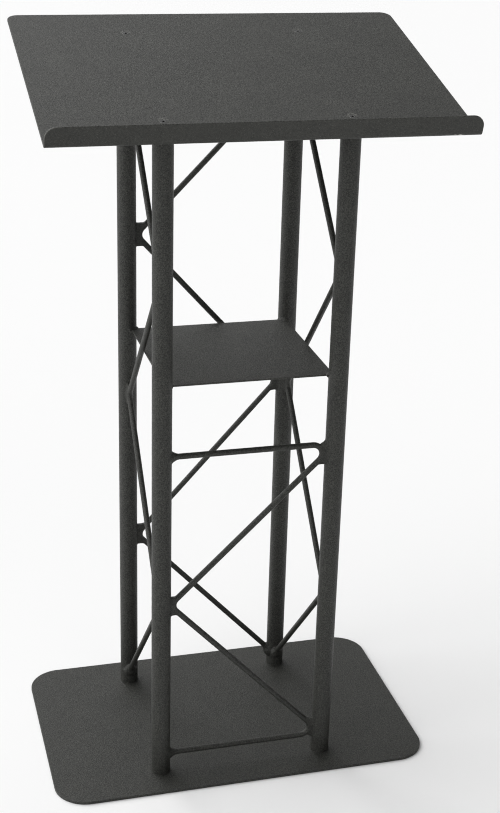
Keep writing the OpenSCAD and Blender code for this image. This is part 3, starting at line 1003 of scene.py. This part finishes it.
def add_bend_weld(welds, face, path, side, z, above, below):
    """Fillets beside a bend, and the webs that fill the corners above and below it."""
    axis = tube_at(face, side)
    half = HALF_X if face in ("front", "rear") else HALF_Y
    centre = place_on_face(face, (side * (half - TUBE_R - BEND_BOX_OUT), z))
    low, grid = weld_grid(centre, half_size(face, *BEND_BOX))
    near = [i for i, p in enumerate(path) if abs(p.z - z) < BEND_PATH_REACH]
    around = path[max(near[0] - 1, 0):near[-1] + 2]
    tube = tube_distance(grid, axis)
    bar = distance_to_route(grid, around, ROD_R)
    across = grid[..., 0] if face in ("front", "rear") else grid[..., 1]
    out = half - side * across
    up = grid[..., 2] - z
    webs = np.minimum(web_distance(out, up, above), web_distance(out, -up, below))
    webs = smooth_overlap(webs, off_plane(grid, face) - WEB_HALF_T, WEB_ROUNDING)
    joint = smooth_union(smooth_union(tube, bar, BEND_K), webs, WEB_K)
    near_weld = np.minimum(np.abs(tube - bar) - FILLET_REACH * BEND_K, webs - WEB_REACH * WEB_K)
    bumps = RIPPLE * waviness(grid, welds.seed, RIPPLE_PERIOD)
    field = np.maximum(joint + WELD_SINK + bumps, near_weld)
    welds.add(low, np.maximum(field, -tube - WELD_DEPTH))


def add_end_weld(welds, face, path, side, end):
    """Cone of weld round the end of a bar, blended into its tube."""
    axis = tube_at(face, side)
    point, inner = (path[0], path[1]) if end == 0 else (path[-1], path[-2])
    run = (inner - point).normalized()
    centre = point + run * END_BOX_OUT
    low, grid = weld_grid(centre, END_BOX)
    tube = tube_distance(grid, axis)
    bar = distance_to_route(grid, [point, inner], ROD_R)
    along = (grid - np.array(point)) @ np.array(run)
    radial = bar + ROD_R
    narrowing = (END_R - ROD_R) / END_REACH
    cone = (radial - END_R + narrowing * along) / math.hypot(1.0, narrowing)
    bumps = RIPPLE * waviness(grid, welds.seed, RIPPLE_PERIOD)
    joint = smooth_union(smooth_union(tube, cone, WEB_K), bar, WEB_K)
    near_weld = np.maximum(cone, tube - END_REACH) - WEB_REACH * WEB_K
    field = np.maximum(joint + WELD_SINK + bumps, near_weld)
    welds.add(low, np.maximum(field, -tube - WELD_DEPTH))


def build_bar_welds(face, path, bends, ends):
    welds = WeldSet()
    for side, z, above, below in bends:
        add_bend_weld(welds, face, path, side, z, above, below)
    for side, end in ends:
        add_end_weld(welds, face, path, side, end)
    welds.build(face + "_bar_welds", face + "_rod_welds")


def box_distance(grid, low, high):
    centre = (np.array(low) + np.array(high)) / 2
    half = (np.array(high) - np.array(low)) / 2
    q = np.abs(grid - centre) - half
    outside = np.linalg.norm(np.maximum(q, 0.0), axis=-1)
    return outside + np.minimum(q.max(axis=-1), 0.0)


def build_shelf_welds():
    low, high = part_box("shelf_plate")
    welds = WeldSet()
    for place, axis in tube_axis.items():
        towards = Vector((-place[0], -place[1])).normalized()
        centre = (axis[0] + towards.x * TUBE_R, axis[1] + towards.y * TUBE_R, (low.z + high.z) / 2)
        start, grid = weld_grid(centre, SHELF_BOX)
        tube = tube_distance(grid, axis)
        plate = box_distance(grid, low, high)
        bumps = RIPPLE * waviness(grid, welds.seed + SHELF_SEED, RIPPLE_PERIOD)
        bead = np.hypot(tube - BEAD_OUT, grid[..., 2] - high.z + BEAD_DROP) - BEAD_R
        bead = np.maximum(bead, plate - 2 * BEAD_R) + 2 * bumps
        both = np.minimum(bead, fillet(tube, plate, SHELF_BEAD_K) + bumps)
        welds.add(start, np.maximum(both, -tube - WELD_DEPTH))
    welds.build("shelf_corner_welds", "shelf_welds")


# ---------------------------------------------------------------- assembly
build_base_plate()
build_top_panel()
build_shelf()
build_screws("panel_socket_screws", "panel_screws", panel_screw_matrices())
build_screws("base_socket_screws", "base_screws", base_screw_matrices())

for face in ("rear", "left", "right"):
    half = HALF_X if face == "rear" else HALF_Y
    points, radii = zigzag_route(half)
    path = build_bar(face, trim_to_tubes(rounded_route(points, radii)))
    bends = []
    for side, z, (above, below) in zip((-1, 1, -1), ROD_BEND_Z, ZIGZAG_WEBS):
        bends.append((side, z, zigzag_web(above), zigzag_web(below)))
    build_bar_welds(face, path, bends, [(1, 0), (1, -1)])
points, radii = front_route()
path = build_bar("front", trim_to_tubes(rounded_route(points, radii)))
front_bends = [
    (-1, FRONT_BEND_Z, zigzag_web(FRONT_WEBS[0]), zigzag_web(FRONT_WEBS[1])),
    (1, ROD_START_Z + RAIL_BEND_R, RAIL_LEG_WEB, RAIL_WEB),
    (1, ROD_BEND_Z[1] - RAIL_BEND_R, RAIL_WEB, RAIL_LEG_WEB),
]
build_bar_welds("front", path, front_bends, [(-1, 0), (-1, -1)])
build_shelf_welds()

# The CAD's tubes and plugs keep their shapes and take real finishes
for name, node in nodes.items():
    if name.startswith("upright_"):
        finish = FRAME_COAT
    elif "_plug_" in name:
        finish = BARE_STEEL
    else:
        continue
    node.data.materials.clear()
    node.data.materials.append(finish)


# ---------------------------------------------------------------- studio
FLOOR_HALF_SIZE = 40.0
FLOOR_COLOUR = (0.92, 0.92, 0.92, 1.0)
FLOOR_ROUGHNESS = 0.9
FLOOR_SPECULAR = 0.1


def add_floor():
    bm = bmesh.new()
    verts = []
    for x, y in ((-1, -1), (1, -1), (1, 1), (-1, 1)):
        verts.append(bm.verts.new((x * FLOOR_HALF_SIZE, y * FLOOR_HALF_SIZE, 0.0)))
    bm.faces.new(verts)
    mesh = bpy.data.meshes.new("floor")
    bm.to_mesh(mesh)
    bm.free()
    floor = bpy.data.objects.new("floor", mesh)
    bpy.context.scene.collection.objects.link(floor)
    material = bpy.data.materials.new("pale_floor")
    material.use_nodes = True
    shader = material.node_tree.nodes["Principled BSDF"]
    shader.inputs["Base Color"].default_value = FLOOR_COLOUR
    shader.inputs["Roughness"].default_value = FLOOR_ROUGHNESS
    shader.inputs["Specular IOR Level"].default_value = FLOOR_SPECULAR
    mesh.materials.append(material)


# Soft glows of the studio: degrees round from +X, degrees above the floor, strength, and fall:
# a glow fades as this power of the cosine from its middle
GLOWS = [
    (135, 52, 1.75, 6),
    (90, 52, 0.8, 6),
    (180, 52, 0.65, 6),
    (180, 18, 2.7, 6),
    (90, 18, 0.2, 6),
    (270, 18, 0.8, 6),
    (315, 18, 0.15, 6),
    (112, 28, 4.0, 40),
]
WHITE = (1.0, 1.0, 1.0, 1.0)
BACKDROP = 0.97                # what the camera sees past the floor
PIXEL_FILTER = 1.1             # a little crisper than the usual 1.5


def glow_strength(tree, towards, azimuth, elevation, strength, fall):
    """One glow's brightness in the direction looked at."""
    turn = math.radians(azimuth)
    rise = math.radians(elevation)
    middle = (math.cos(rise) * math.cos(turn), math.cos(rise) * math.sin(turn), math.sin(rise))
    facing = add_node(tree, "ShaderNodeVectorMath", {"operation": "DOT_PRODUCT"}, i0=towards, i1=middle)
    lit = maths(tree, "MAXIMUM", facing.outputs["Value"], 0.0)
    return maths(tree, "MULTIPLY", maths(tree, "POWER", lit, fall), strength)


def add_studio():
    """Light from the glows, and a plain white backdrop that only the camera sees."""
    scene = bpy.context.scene
    scene.view_settings.view_transform = "Standard"
    scene.cycles.denoising_prefilter = "NONE"       # keeps the coats' fine grain
    scene.cycles.filter_width = PIXEL_FILTER
    world = bpy.data.worlds.new("studio")
    world.use_nodes = True
    tree = world.node_tree
    background = tree.nodes["Background"]
    towards = add_node(tree, "ShaderNodeTexCoord").outputs["Generated"]
    total = 0.0
    for glow in GLOWS:
        total = maths(tree, "ADD", total, glow_strength(tree, towards, *glow))
    backdrop = add_node(tree, "ShaderNodeBackground", Strength=BACKDROP)
    seen = add_node(tree, "ShaderNodeLightPath").outputs["Is Camera Ray"]
    tree.links.new(total, background.inputs["Strength"])
    background.inputs["Color"].default_value = WHITE
    backdrop.inputs["Color"].default_value = WHITE
    mixed = add_node(tree, "ShaderNodeMixShader", i0=seen, i1=background.outputs["Background"],
                     i2=backdrop.outputs["Background"])
    tree.links.new(mixed.outputs["Shader"], tree.nodes["World Output"].inputs["Surface"])
    scene.world = world


add_floor()
add_studio()
